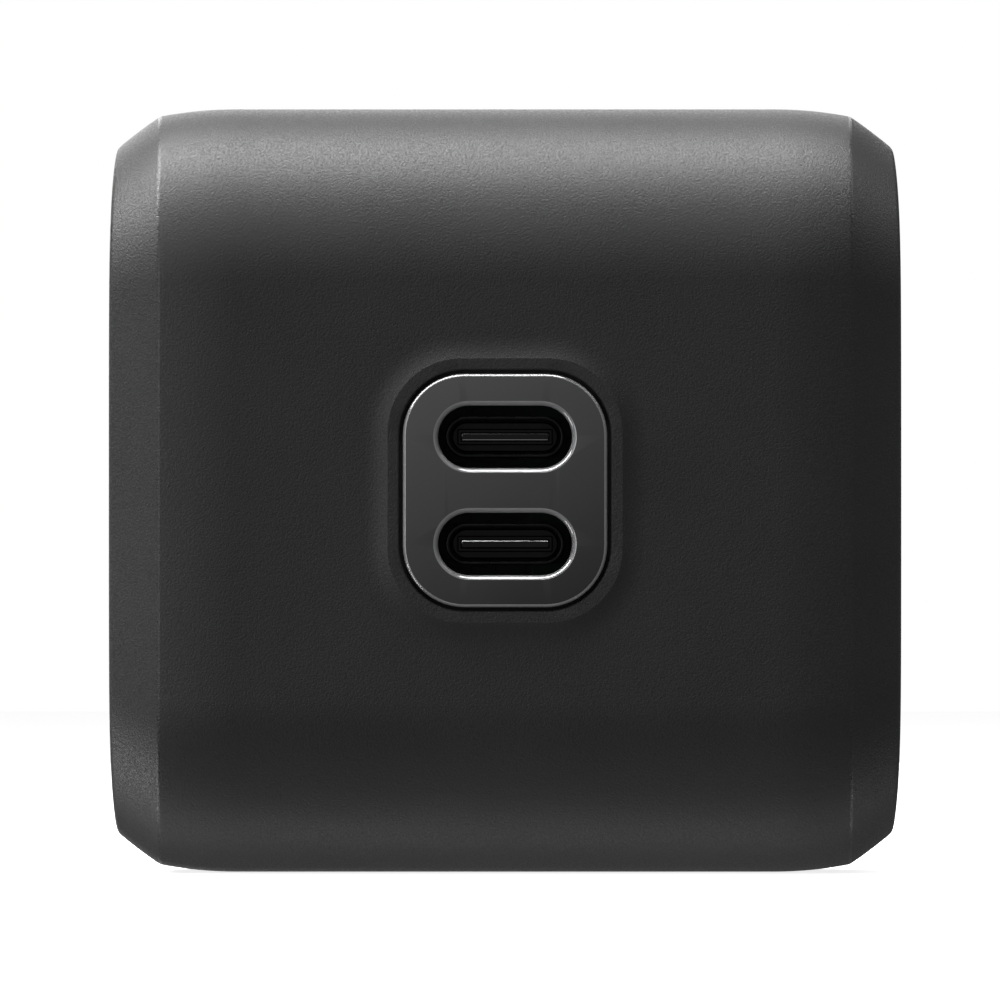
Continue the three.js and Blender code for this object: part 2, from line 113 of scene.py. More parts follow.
def flat_sheet(bm, width, height):
    """One rectangle in the X-Y plane, around the origin."""
    made = bmesh.ops.create_grid(bm, x_segments=1, y_segments=1, size=0.5)["verts"]
    span = max(v.co.x for v in made) - min(v.co.x for v in made)
    bmesh.ops.scale(bm, vec=(width / span, height / span, 1), verts=made)
    return made


def rounded_face(bm, width, height, rounds, segments=10):
    """A face in the X-Y plane. rounds gives the radius of the corners with a low x, then of those with
    a high x."""
    made = flat_sheet(bm, width, height)
    low = [v for v in made if v.co.x < 0]
    high = [v for v in made if v.co.x > 0]
    for corners, radius in ((low, rounds[0]), (high, rounds[1])):
        bmesh.ops.bevel(
            bm, geom=corners, offset=radius, offset_type="OFFSET", affect="VERTICES",
            segments=segments, profile=0.5, material=-1)
    return max(bm.faces, key=lambda face: len(face.verts))


def round_off(bm, edges, width, segments, material=-1, clamp=False):
    """Bevels edges to a round. material is the slot of the new faces, or -1 for their neighbours' slot."""
    bmesh.ops.bevel(
        bm, geom=edges, offset=width, offset_type="OFFSET", affect="EDGES", segments=segments, profile=0.5,
        material=material, clamp_overlap=clamp)


def crisp_edges(bm, angle):
    """The edges at which two faces meet with more than an angle, in degrees."""
    return [
        e for e in bm.edges
        if len(e.link_faces) == 2 and e.calc_face_angle() > math.radians(angle)]


def outline_mesh(width, height, radius, y, middle, segments):
    """A rounded rectangle that faces the front, at depth y: a closed row of edges in its own bmesh."""
    small = bmesh.new()
    radius = min(radius, ROUND_LIMIT * min(width, height))
    face = rounded_face(small, width, height, (radius, radius), segments)
    bmesh.ops.delete(small, geom=[face], context="FACES_ONLY")
    for vert in small.verts:
        vert.co = (middle[0] + vert.co.x, y, middle[1] + vert.co.y)
    return small


def outline_points(shape):
    """The points of such an outline. Their order is the same for every size."""
    small = outline_mesh(**shape)
    points = [vert.co.copy() for vert in small.verts]
    small.free()
    return points


def spot(point):
    """A place in whole nanometres, to find a point by."""
    return tuple(round(c * 1e9) for c in point)


def paste(bm, small):
    """Copies everything of one bmesh into another, and returns the new verts, edges and faces."""
    old = set(bm.verts) | set(bm.edges) | set(bm.faces)
    mesh = bpy.data.meshes.new("scratch")
    small.to_mesh(mesh)
    small.free()
    bm.from_mesh(mesh)
    bpy.data.meshes.remove(mesh)
    return {
        "verts": [v for v in bm.verts if v not in old],
        "edges": [e for e in bm.edges if e not in old],
        "faces": [f for f in bm.faces if f not in old]}


def loft(bm, outlines):
    """Extrudes the first outline from one outline to the next, and returns the end rows and the faces."""
    start, *others = outlines
    first = edges = paste(bm, outline_mesh(**start))["edges"]
    points = outline_points(start)
    faces = []
    for shape in others:
        targets = outline_points(shape)
        extruded = bmesh.ops.extrude_edge_only(bm, edges=edges)["geom"]
        places = {spot(point): i for i, point in enumerate(points)}
        for vert in verts_of(extruded):
            vert.co = targets[places[spot(vert.co)]]
        edges = edges_of(extruded)
        faces += faces_of(extruded)
        points = targets
    return {"first": first, "last": edges, "faces": faces}


def fill_between(bm, *loops):
    """Fills the flat area inside the first loop and outside the others."""
    edges = [edge for loop in loops for edge in loop]
    bmesh.ops.triangle_fill(bm, use_beauty=True, use_dissolve=False, edges=edges)


def sweep(bm, edges, moves):
    """Extrudes a row of edges through a list of matrices, and returns the last row."""
    for matrix in moves:
        extruded = bmesh.ops.extrude_edge_only(bm, edges=edges)["geom"]
        bmesh.ops.transform(bm, matrix=matrix, verts=verts_of(extruded))
        edges = edges_of(extruded)
    return edges


def stretch_about(centre, factors, move=(0, 0, 0)):
    """A matrix that stretches about a point and then shifts."""
    return (
        Matrix.Translation(Vector(centre) + Vector(move))
        @ Matrix.Diagonal((*factors, 1))
        @ Matrix.Translation(-Vector(centre)))


def grown(shape, extra=0.0):
    """A (width, height, radius) outline with a margin all round."""
    width, height, radius = shape
    return (width + 2 * extra, height + 2 * extra, radius + extra)


def ring(shape, y, extra=0.0, middle=(0, 0), segments=10):
    """One outline for a loft."""
    width, height, radius = grown(shape, extra)
    return {
        "width": width, "height": height, "radius": radius, "y": y, "middle": middle, "segments": segments}


ROLL_TILTS = (11, 33, 45, 45, 57, 79)               # degrees from the face, strip by strip
ROLL_LENGTHS = (0.5, 0.5, 1, 1, 0.5, 0.5)


def rolled(shape, y, edge, side, into=1, middle=(0, 0), segments=10):
    """Outlines of a chamfer with softened borders, from a face at depth y into a wall. side is 1 round a
    hole and -1 round a solid. into is 1 where the wall runs to the back, and -1 where to the front."""
    across = sum(size * math.cos(math.radians(tilt)) for tilt, size in zip(ROLL_TILTS, ROLL_LENGTHS))
    out, depth = edge, 0.0
    rings = [ring(shape, y, side * out, middle, segments)]
    for tilt, size in zip(ROLL_TILTS, ROLL_LENGTHS):
        out -= edge * size * math.cos(math.radians(tilt)) / across
        depth += edge * size * math.sin(math.radians(tilt)) / across
        rings.append(ring(shape, y + into * depth, side * out, middle, segments))
    return rings


def clean(bm):
    """Merges doubled points and turns every face outwards."""
    bmesh.ops.remove_doubles(bm, verts=bm.verts, dist=MERGE)
    bmesh.ops.recalc_face_normals(bm, faces=bm.faces)


def linked(bm, name):
    """Makes an object in the scene of a bmesh, which is used up."""
    mesh = bpy.data.meshes.new(name)
    bm.to_mesh(mesh)
    bm.free()
    made = bpy.data.objects.new(name, mesh)
    bpy.context.scene.collection.objects.link(made)
    return made


def piece_from(bm, name, finishes, body, slot, *nodes, sharp=30):
    """Turns a finished bmesh into an object that rides on a body and stands for CAD nodes."""
    clean(bm)
    print(name, "faces:", len(bm.faces), "open edges:", open_edges(bm))
    piece = linked(bm, name)
    mesh = piece.data
    for finish in finishes:
        mesh.materials.append(finish)
    mesh.shade_smooth()
    mesh.set_sharp_from_angle(angle=math.radians(sharp))
    normals = piece.modifiers.new("flat faces stay flat", "WEIGHTED_NORMAL")
    normals.keep_sharp = True
    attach(piece, body)
    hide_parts(*nodes)
    return piece


def combined(base, operation, other):
    """Joins one closed bmesh to another, or cuts it away, and returns the result. Both are used up."""
    objects = []
    for bm in (base, other):
        clean(bm)
        objects.append(linked(bm, "scratch"))
    modifier = objects[0].modifiers.new("combine", "BOOLEAN")
    modifier.operation = operation
    modifier.solver = "EXACT"
    modifier.object = objects[1]
    bpy.context.view_layer.update()
    result = bmesh.new()
    result.from_object(objects[0], bpy.context.evaluated_depsgraph_get())
    for made in objects:
        mesh = made.data
        bpy.data.objects.remove(made)
        bpy.data.meshes.remove(mesh)
    return result


def open_edges(bm):
    return sum(1 for edge in bm.edges if not edge.is_manifold)


# %% [markdown]
# ## Helpers for materials
# Every finish is a small node tree. Values that change over the surface are written as expressions on
# `Value`, which adds a Math node for each operator, and any other node comes from `Finish.node`.


# %% Shader expressions
class Value:
    """A number socket that can be used in an expression."""

    def __init__(self, finish, socket):
        self.finish = finish
        self.socket = socket

    def math(self, operation, first, second):
        return self.finish.node("ShaderNodeMath", {"operation": operation}, {0: first, 1: second})

    def __add__(self, other):
        return self.math("ADD", self, other)

    def __radd__(self, other):
        return self.math("ADD", other, self)

    def __sub__(self, other):
        return self.math("SUBTRACT", self, other)

    def __mul__(self, other):
        return self.math("MULTIPLY", self, other)


class Finish:
    """A material under construction."""

    def __init__(self, name):
        self.material = bpy.data.materials.new(name)
        self.material.use_nodes = True
        self.tree = self.material.node_tree
        self.tree.nodes.clear()
        self.place = self.node("ShaderNodeTexCoord", output="Object")

    def node(self, kind, settings=None, sockets=None, output=0):
        made = self.tree.nodes.new(kind)
        for key, value in (settings or {}).items():
            if key == "stops":
                ramp = made.color_ramp
                while len(ramp.elements) < len(value):
                    ramp.elements.new(0.5)
                for element, (position, level) in zip(ramp.elements, value):
                    element.position = position
                    element.color = (level, level, level, 1)
            else:
                setattr(made, key, value)
        for key, value in (sockets or {}).items():
            if isinstance(value, Value):
                self.tree.links.new(value.socket, made.inputs[key])
            else:
                made.inputs[key].default_value = value
        return Value(self, made.outputs[output]) if made.outputs else None

    def stretched(self, x, y, z):
        return self.node("ShaderNodeMapping", {}, {"Vector": self.place, "Scale": (x, y, z)})

    def noise(self, size, detail=3, rough=0.5, along=None):
        """Soft random blotches of about the given size, in metres, from 0 to 1."""
        return self.node(
            "ShaderNodeTexNoise", {"noise_dimensions": "3D"},
            {"Vector": along or self.place, "Scale": 1 / size, "Detail": detail, "Roughness": rough})

    def ramp(self, value, stops):
        return self.node("ShaderNodeValToRGB", {"stops": stops}, {"Fac": value})

    def tint(self, amount, low, high):
        """A colour between two colours."""
        return self.node(
            "ShaderNodeMix", {"data_type": "RGBA"},
            {0: amount, 6: (*low, 1), 7: (*high, 1)}, output=2)

    def bump(self, height, distance, strength):
        return self.node(
            "ShaderNodeBump", {}, {"Height": height, "Distance": distance, "Strength": strength})

    def surface(self, **sockets):
        """Ends the tree with a Principled shader, its inputs given by name, and returns the material."""
        named = {key.replace("_", " ").title(): value for key, value in sockets.items()}
        if "Ior" in named:
            named["IOR"] = named.pop("Ior")
        shader = self.node("ShaderNodeBsdfPrincipled", {}, named)
        self.node("ShaderNodeOutputMaterial", {}, {"Surface": shader})
        return self.material


def grey(level):
    """A dark grey, very slightly blue."""
    return (level, level, level * 1.02)


# %% [markdown]
# ## Finishes of the outside
# The case is moulded in a mould that was spark eroded, so its skin is a fine even grain that spreads every
# highlight. The thin crest above each chamfer is rubbed smoother, and its colour is lifted a little as a
# painted highlight. The port plate comes from a polished mould and stays satin, with painted light that
# makes it lighter towards the top left, and its rims are buffed and plated. A grain bump does more for such
# a plastic than colour does, so colour only drifts between two dark greys.

# %% Case plastic and port plate
PLATE_HALF_HEIGHT = 8.8 * MM
# Painted light: these two lift the plate's tint towards its top and its left, as a painted sheen.
PLATE_PAINTED_LIGHT_UP = 0.42       # how far the plate's tint moves from its middle to its top
PLATE_PAINTED_LIGHT_LEFT = 0.22     # and as far to its left


def case_plastic(name, painted_highlight=0.0, polish=0.0):
    """Eroded grain. painted_highlight lifts its colour as a painted highlight, and polish smooths it, for
    edges that hands have rubbed.
    """
    finish = Finish(name)
    grain = finish.noise(0.16 * MM, detail=2, rough=0.6)
    coarse = finish.noise(0.34 * MM, detail=1)
    drift = finish.noise(9 * MM, detail=4)
    worn = finish.node("ShaderNodeNewGeometry", output="Pointiness")
    edge = finish.ramp(worn, [(0.50, 0.0), (0.56, 1.0)])
    speckle = finish.ramp(grain, [(0.32, 0.0), (0.68, 1.0)])
    mix = drift * 0.6 + speckle * 0.12 + edge * 0.25
    colour = finish.tint(mix, grey(0.0135 + painted_highlight), grey(0.032 + painted_highlight))
    rough = 0.355 - polish + drift * 0.03 + speckle * 0.28 - edge * 0.1
    skin = finish.bump(grain + coarse * 0.08, 0.05 * MM, 0.75)
    return finish.surface(base_color=colour, roughness=rough, normal=skin, ior=1.5)


def plate_plastic():
    """Satin, with painted light: its colour is lighter towards the top left, where the light falls."""
    finish = Finish("plate_plastic")
    haze = finish.noise(3 * MM, detail=3)
    fine = finish.noise(0.14 * MM, detail=2)
    across = finish.node("ShaderNodeSeparateXYZ", {}, {"Vector": finish.place}, output="X")
    up = finish.node("ShaderNodeSeparateXYZ", {}, {"Vector": finish.place}, output="Z")
    # lean is painted light, a tint that grows towards the top left, where the light falls.
    lean = 0.5 + up * (PLATE_PAINTED_LIGHT_UP / PLATE_HALF_HEIGHT) - across * (PLATE_PAINTED_LIGHT_LEFT / PLATE_HALF_HEIGHT)
    colour = finish.tint(lean + haze * 0.06 + fine * 0.04 - 0.05, grey(0.024), grey(0.115))
    rough = 0.32 + haze * 0.05 + fine * 0.03
    skin = finish.bump(fine, 0.004 * MM, 0.5)
    return finish.surface(base_color=colour, roughness=rough, normal=skin, ior=1.5)


def polished_rim():
    """The cut edges are buffed and plated dark, so they catch much more light than the satin plate."""
    finish = Finish("polished_rim")
    wear = finish.noise(0.8 * MM, detail=3)
    colour = finish.tint(wear, grey(0.34), grey(0.42))
    skin = finish.bump(wear, 0.001 * MM, 0.3)
    return finish.surface(
        base_color=colour, metallic=0.32 + wear * 0.08, roughness=0.12 + wear * 0.05, normal=skin, ior=1.52)


def dark_gloss(name, low, high, rough, size):
    finish = Finish(name)
    cloud = finish.noise(size, detail=3)
    colour = finish.tint(cloud, grey(low), grey(high))
    skin = finish.bump(cloud, 0.002 * MM, 0.4)
    return finish.surface(base_color=colour, roughness=rough + cloud * 0.08, normal=skin, ior=1.5)


def drawn_metal(name, low, high, rough, along):
    """A metal with fine drawing lines. along stretches the grain, so the lines run where it is small."""
    finish = Finish(name)
    lines = finish.noise(0.05 * MM, detail=2, along=finish.stretched(*along))
    cloud = finish.noise(1.5 * MM, detail=4)
    colour = finish.tint(cloud * 0.7 + lines * 0.3, low, high)
    skin = finish.bump(lines, 0.003 * MM, 0.35)
    return finish.surface(
        base_color=colour, metallic=1.0, roughness=rough + lines * 0.08 + cloud * 0.08, normal=skin)


def moulded_black():
    finish = Finish("carrier_plastic")
    grain = finish.noise(0.14 * MM, detail=2)
    drift = finish.noise(4 * MM, detail=3)
    colour = finish.tint(drift * 0.7 + grain * 0.3, grey(0.012), grey(0.02))
    skin = finish.bump(grain, 0.008 * MM, 0.5)
    return finish.surface(base_color=colour, roughness=0.38 + drift * 0.1, normal=skin, ior=1.5)


CASE = case_plastic("case_plastic")
# The crest is smoother, and its colour is lifted as a painted highlight along it.
CREST = case_plastic("case_crest", painted_highlight=0.006, polish=0.15)
PLATE = plate_plastic()
POLISHED = polished_rim()
MOUTH_WALL = dark_gloss("mouth_wall", 0.003, 0.006, 0.2, 1.2 * MM)
TUBE_STEEL = drawn_metal("tube_steel", (0.012, 0.012, 0.013), (0.03, 0.03, 0.032), 0.2, (1, 0.08, 1))
# The tongue is black plastic, and its colour is darkened further as painted shade for the socket's recess.
TONGUE_BLACK_AND_SHADE = dark_gloss("tongue_black_and_shade", 0.002, 0.005, 0.16, 0.7 * MM)
TONGUE_EDGE = drawn_metal("tongue_edge", (0.6, 0.6, 0.6), (0.8, 0.8, 0.8), 0.12, (0.1, 1, 1))
GOLD = drawn_metal("contact_gold", (0.75, 0.5, 0.2), (0.85, 0.6, 0.28), 0.18, (1, 0.1, 1))
NICKEL = drawn_metal("blade_nickel", (0.62, 0.6, 0.57), (0.7, 0.68, 0.65), 0.24, (1, 0.04, 1))
CARRIER_PLASTIC = moulded_black()
print("finishes of the outside:", len(bpy.data.materials))

# %% [markdown]
# ## Front shell
# The shell's side outline is a rectangle with large rounds at the front. It runs straight across the middle
# of the case, dips a little towards each end, and then draws in to a chamfer before the side face. The line
# where the chamfer starts is the crest, and the one where it ends is the brow.
# So one outline is swept along X from the middle, drawn in at each step, and the half is mirrored.
# The collar is a loft of its own, joined to a window left in the front face.

# %% Rows of the case's outline
CROWN_START = 20.4 * MM
CHAMFER_START = 26.15 * MM
CROWN_DROP = 0.55 * MM
CHAMFER_END = 29.4 * MM
CHAMFER_DROP = 2.45 * MM
CHAMFER_CROWN = 0.07 * MM
SIDE_BULGE = 0.5 * MM
SIDE_FADE = 3.6 * MM
EDGE_DROP = CROWN_DROP + CHAMFER_DROP
STRAIGHT_ROWS = (2.5, 5, 7.5, 10, 12.5, 15, 17.5)      # mm from the middle
CROWN_STEPS = 10
CHAMFER_RUNS = (0.25, 0.5, 0.75, 1)
SIDE_DROPS = (0.5, 1.2, 2.1, 3.3, 5, 7.5, 10.5)        # mm, across the side face


def outline_rows():
    """Places along X, each with how far the outline has drawn in there, and the rows of crest and brow."""
    rows = [(x * MM, 0.0) for x in STRAIGHT_ROWS]
    for i in range(CROWN_STEPS + 1):
        run = i / CROWN_STEPS
        rows.append((CROWN_START + run * (CHAMFER_START - CROWN_START), CROWN_DROP * run ** 2))
    crest = len(rows) - 1
    for run in CHAMFER_RUNS:
        drop = CROWN_DROP + CHAMFER_DROP * run - 4 * CHAMFER_CROWN * run * (1 - run)
        rows.append((CHAMFER_START + run * (CHAMFER_END - CHAMFER_START), drop))
    brow = len(rows) - 1
    for more in SIDE_DROPS:
        rows.append((CHAMFER_END, EDGE_DROP + more * MM))
    return rows, crest, brow


def bulge_sides(bm):
    """Curves the side face along Z, and draws the outer edge of the chamfer out with it."""
    for vert in bm.verts:
        reach = min(1, max(0, (vert.co.x - CHAMFER_START) / (CHAMFER_END - CHAMFER_START)))
        from_end = max(0, HALF_HEIGHT - EDGE_DROP - abs(vert.co.z))
        vert.co.x += reach * SIDE_BULGE * (1 - math.exp(-from_end / SIDE_FADE))


# %% The outer skin
LONG_EDGE = 2.5 * MM       # a straight edge longer than this is cut up
CUT_LENGTH = 2.2 * MM
CREST_ROUND = 0.14 * MM
BROW_ROUND = 0.35 * MM


def outer_skin():
    """The whole outside of the case, closed, with rounded crests at both ends."""
    bm = bmesh.new()
    face = rounded_face(bm, 2 * HALF_DEPTH, 2 * HALF_HEIGHT, (FRONT_ROUND, BACK_ROUND), segments=22)
    bmesh.ops.rotate(bm, matrix=STAND_UP, verts=bm.verts)
    bmesh.ops.translate(bm, vec=(0, -HALF_DEPTH, 0), verts=bm.verts)
    bmesh.ops.delete(bm, geom=[face], context="FACES_ONLY")
    for edge in [e for e in bm.edges if e.calc_length() > LONG_EDGE]:
        cuts = math.ceil(edge.calc_length() / CUT_LENGTH) - 1
        bmesh.ops.subdivide_edges(bm, edges=[edge], cuts=cuts)

    rows, crest, brow = outline_rows()
    centre = (0, -HALF_DEPTH, 0)
    edges, x, inset = bm.edges[:], 0.0, 0.0
    kept = []
    for next_x, next_inset in rows:
        factors = (
            1,
            (HALF_DEPTH - next_inset) / (HALF_DEPTH - inset),
            (HALF_HEIGHT - next_inset) / (HALF_HEIGHT - inset))
        edges = sweep(bm, edges, [stretch_about(centre, factors, (next_x - x, 0, 0))])
        kept.append(edges)
        x, inset = next_x, next_inset
    bmesh.ops.contextual_create(bm, geom=edges)
    bulge_sides(bm)
    round_off(bm, kept[crest], CREST_ROUND, 3, material=1, clamp=True)
    round_off(bm, kept[brow], BROW_ROUND, 4, clamp=True)
    bmesh.ops.mirror(bm, geom=everything(bm), axis="X", merge_dist=MIRROR_MERGE)
    bmesh.ops.recalc_face_normals(bm, faces=bm.faces)
    return bm


def keep_side(bm, y, front):
    """Cuts the skin at depth y, keeps the front or the back part, and returns the cut's edges."""
    cut = bmesh.ops.bisect_plane(
        bm, geom=everything(bm), dist=ON_PLANE, plane_co=(0, y, 0), plane_no=(0, 1, 0), clear_outer=front,
        clear_inner=not front)
    return edges_of(cut["geom_cut"])


SEAM_ROUND = 0.25 * MM


def draw_in(amount, dy=0.0):
    """One move that draws a loop of the case's full outline in by an amount and shifts it in depth."""
    return stretch_about((0, 0, 0), (1 - amount / HALF_WIDTH, 1, 1 - amount / HALF_HEIGHT), (0, dy, 0))


def rolled_edge(direction):
    """Moves that round the shell's edge at the seam, towards the gap."""
    moves, before = [], (0.0, 0.0)
    for angle in (30, 60, 90):
        shrink = SEAM_ROUND * (1 - math.cos(math.radians(angle)))
        ahead = SEAM_ROUND * math.sin(math.radians(angle))
        moves.append(draw_in(shrink - before[0], direction * (ahead - before[1])))
        before = (shrink, ahead)
    return moves


# %% Collar
COLLAR = (17.7 * MM, 19.9 * MM, 5.55 * MM)
COLLAR_SLOPE = 1.9 * MM
SLOPE_STEPS = 10
SLOPE_HOLLOW = 2.5
HOLE = (15.94 * MM, 18.14 * MM, 4.92 * MM)
HOLE_EDGE = 0.14 * MM
ROUND_STEPS = 14


def collar_rings():
    """Outlines from the foot of the collar's hollow slope to the back of the hole in it."""
    rings = []
    for i in range(SLOPE_STEPS + 1):
        out = COLLAR_SLOPE * (1 - i / SLOPE_STEPS)
        rise = COLLAR_RISE * (i / SLOPE_STEPS) ** SLOPE_HOLLOW
        rings.append(ring(COLLAR, FACE_Y - rise, out, segments=ROUND_STEPS))
    rings += rolled(HOLE, COLLAR_Y, HOLE_EDGE, side=1, segments=ROUND_STEPS)
    rings.append(ring(HOLE, FACE_Y + WALL, segments=ROUND_STEPS))
    return rings


# %% Front shell
FIELD_HALF_X = 13 * MM         # half sizes of the part of the front that is made anew with the collar
FIELD_HALF_Z = 14 * MM
FLAT_Y = FACE_Y + 0.01 * MM    # whatever lies before this depth is in the flat front
INNER_CORNER = 2.6 * MM        # how far the inside draws in sideways, on its way to the front
INNER_ANGLES = (15, 30, 45, 60, 75, 90)


def front_window(bm):
    """Takes the flat faces around the collar out of the front, and returns the edges around the hole."""
    gone = []
    for face in bm.faces:
        centre = face.calc_center_median()
        if centre.y < FLAT_Y and abs(centre.x) < FIELD_HALF_X and abs(centre.z) < FIELD_HALF_Z:
            gone.append(face)
    bmesh.ops.delete(bm, geom=gone, context="FACES")
    return [e for e in bm.edges if e.is_boundary and all(v.co.y < FLAT_Y for v in e.verts)]


def front_shell():
    bm = outer_skin()
    window = front_window(bm)
    seam = keep_side(bm, front_high.y - SEAM_ROUND, front=True)
    collar = loft(bm, collar_rings())
    fill_between(bm, window, collar["first"])

    rim = sweep(bm, seam, rolled_edge(1))
    inner_arc = FRONT_ROUND - WALL
    arc_y = FACE_Y + FRONT_ROUND
    moves = [draw_in(WALL - SEAM_ROUND), draw_in(0, arc_y - front_high.y)]
    half_z, half_x, y = HALF_HEIGHT - WALL, HALF_WIDTH - WALL, arc_y
    for angle in INNER_ANGLES:
        lean = math.radians(angle)
        next_z = HALF_HEIGHT - FRONT_ROUND + inner_arc * math.cos(lean)
        next_x = HALF_WIDTH - WALL - INNER_CORNER * (angle / 90) ** 4
        next_y = arc_y - inner_arc * math.sin(lean)
        moves.append(stretch_about((0, 0, 0), (next_x / half_x, 1, next_z / half_z), (0, next_y - y, 0)))
        half_z, half_x, y = next_z, next_x, next_y
    inner = sweep(bm, rim, moves)
    fill_between(bm, inner, collar["last"])
    piece_from(bm, "front_shell", (CASE, CREST), "case", "case", "front_housing", sharp=14)


front_shell()

# %% [markdown]
# ## Rear shell
# The rear shell is the rest of the same skin, with a lip that reaches into the front shell. A solid well
# inside it holds the folded blades. The drum's window, the two blade slots and the finger scoop are cut
# into it, and the window and the slots get a small rolled lip, as a mould would leave it.

# %% Places of the hinge and of the blades
hinge = next(joint for joint in frame["record"]["behaviour"]["joints"] if joint["name"] == "plug_fold")
HINGE = Vector(hinge["pos_m"])
blade_low, blade_high = (Vector(corner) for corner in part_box("blade_right"))
BLADE_X = (blade_low.x + blade_high.x) / 2
BLADE_THICK = blade_high.x - blade_low.x
BLADE_WIDTH = blade_high.z - blade_low.z
BLADE_TIP_Y = blade_high.y
CARRIER_END = Vector(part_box("plug_carrier")[1]).x
DRUM_RADIUS = 5 * MM
DRUM_FLAT = 3.5 * MM
DRUM_HALF = 9.5 * MM
PLAY = 0.3 * MM
LIP_LENGTH = SEAM_Y - rear_low.y
LIP_SKIN = WALL + PLAY
LIP_WALL = 1 * MM
print("hinge, mm:", [round(c / MM, 2) for c in HINGE], "blade tip, mm:", round(BLADE_TIP_Y / MM, 2))
print("lip, mm:", round(LIP_LENGTH / MM, 2))


# %% Cutters for the back
LIP_ROLL = 0.3 * MM
PAST_BACK = 2 * MM
SCOOP_RADIUS = 7 * MM
SCOOP_AXIS_Y = 3.6 * MM
SCOOP_Z = HINGE.z + 17.5 * MM
SCOOP_WIDTH = 19.6 * MM
SCOOP_ROLL = 1.2 * MM


def block_from(rings):
    """A loft that is closed at both ends, in a bmesh of its own."""
    bm = bmesh.new()
    prism = loft(bm, rings)
    bmesh.ops.contextual_create(bm, geom=prism["first"])
    bmesh.ops.contextual_create(bm, geom=prism["last"])
    return bm


def back_cutter(shape, middle, floor_y, segments=6):
    """A closed rounded prism that reaches from floor_y out of the back face, flared where it passes it."""
    rings = [ring(shape, PAST_BACK, LIP_ROLL, middle, segments)]
    rings += rolled(shape, 0, LIP_ROLL, side=1, into=-1, middle=middle, segments=segments)
    rings.append(ring(shape, floor_y, 0, middle, segments))
    return block_from(rings)


def rod_along_x(radius, length, y, z, roll, sides=64, x=0.0):
    """A rod with rounded ends. x, y and z are its middle."""
    bm = bmesh.new()
    bmesh.ops.create_cone(
        bm, cap_ends=True, cap_tris=False, segments=sides, radius1=radius, radius2=radius, depth=length)
    ends = [e for e in bm.edges if abs(e.verts[0].co.z - e.verts[1].co.z) < SAME]
    round_off(bm, ends, roll, 4)
    bmesh.ops.rotate(bm, matrix=Matrix.Rotation(math.radians(90), 3, "Y"), verts=bm.verts)
    bmesh.ops.translate(bm, vec=(x, y, z), verts=bm.verts)
    return bm


def box_between(low, high, roll=0.0, segments=2):
    """A box from one corner to the other, with its edges rounded if roll isn't 0."""
    bm = bmesh.new()
    bmesh.ops.create_cube(bm, size=1)
    size = Vector(high) - Vector(low)
    bmesh.ops.scale(bm, vec=size, verts=bm.verts)
    bmesh.ops.translate(bm, vec=(Vector(high) + Vector(low)) / 2, verts=bm.verts)
    if roll:
        round_off(bm, bm.edges[:], roll, segments)
    return bm


# %% Rear shell
WINDOW = (2 * (DRUM_HALF + PLAY), 2 * (DRUM_RADIUS + PLAY), 0.8 * MM)
WINDOW_DEPTH = 12 * MM
SLOT_WIDTH = 2.3 * MM
SLOT_CORNER = 0.6 * MM
SLOT_FLOOR = -7.5 * MM
SLOT_TOP = HINGE.z + 21 * MM
WELL_HALF = 10.9 * MM
WELL_FRONT = -8.8 * MM
WELL_TOP = HINGE.z + 24.2 * MM


def rear_shell():
    bm = outer_skin()
    seam = keep_side(bm, SEAM_Y + SEAM_ROUND, front=False)
    rim = sweep(bm, seam, rolled_edge(-1))
    moves = [
        draw_in(LIP_SKIN - SEAM_ROUND), draw_in(0, -LIP_LENGTH), draw_in(LIP_WALL),
        draw_in(0, LIP_LENGTH - BACK_WALL - SEAM_Y)]
    inner = sweep(bm, rim, moves)
    bmesh.ops.contextual_create(bm, geom=inner)

    well = box_between(
        (-WELL_HALF, WELL_FRONT, HINGE.z + DRUM_RADIUS), (WELL_HALF, -BACK_WALL / 2, WELL_TOP))
    bm = combined(bm, "UNION", well)
    bm = combined(bm, "DIFFERENCE", back_cutter(WINDOW, (0, HINGE.z), -WINDOW_DEPTH))
    slot_low = HINGE.z + DRUM_RADIUS / 2
    for side in (-1, 1):
        shape = (SLOT_WIDTH, SLOT_TOP - slot_low, SLOT_CORNER)
        middle = (side * BLADE_X, (SLOT_TOP + slot_low) / 2)
        bm = combined(bm, "DIFFERENCE", back_cutter(shape, middle, SLOT_FLOOR))
    scoop = rod_along_x(SCOOP_RADIUS, SCOOP_WIDTH, SCOOP_AXIS_Y, SCOOP_Z, SCOOP_ROLL)
    bm = combined(bm, "DIFFERENCE", scoop)
    piece_from(bm, "rear_shell", (CASE, CREST), "case", "case", "rear_cover", sharp=28)


rear_shell()

# %% [markdown]
# ## Port plate
# One satin plate carries both openings. It is moulded separately, pushed into the hole from behind, and
# held by the flange around its back. Its rim and the rims of the openings are polished chamfers with
# softened borders, plated dark, and the walls of the openings are black.

# %% Port plate
PLATE_SHAPE = (15.4 * MM, 17.6 * MM, 4.65 * MM)
PLATE_EDGE = 0.22 * MM
MOUTH = (10.1 * MM, 4.7 * MM, 2.35 * MM)
MOUTH_EDGE = 0.36 * MM
MOUTH_STEPS = 16
plate_low, plate_high = (Vector(corner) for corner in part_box("port_bezel"))
FLANGE = grown(PLATE_SHAPE, (plate_high.x - plate_low.x - PLATE_SHAPE[0]) / 2)
FLANGE_THICK = 1 * MM
LEVELS = ("upper", "lower")
PORTS_Z = [(low[2] + high[2]) / 2 for low, high in (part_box(f"usb_c_tongue_{level}") for level in LEVELS)]
print("ports at z, mm:", [round(z / MM, 3) for z in PORTS_Z])


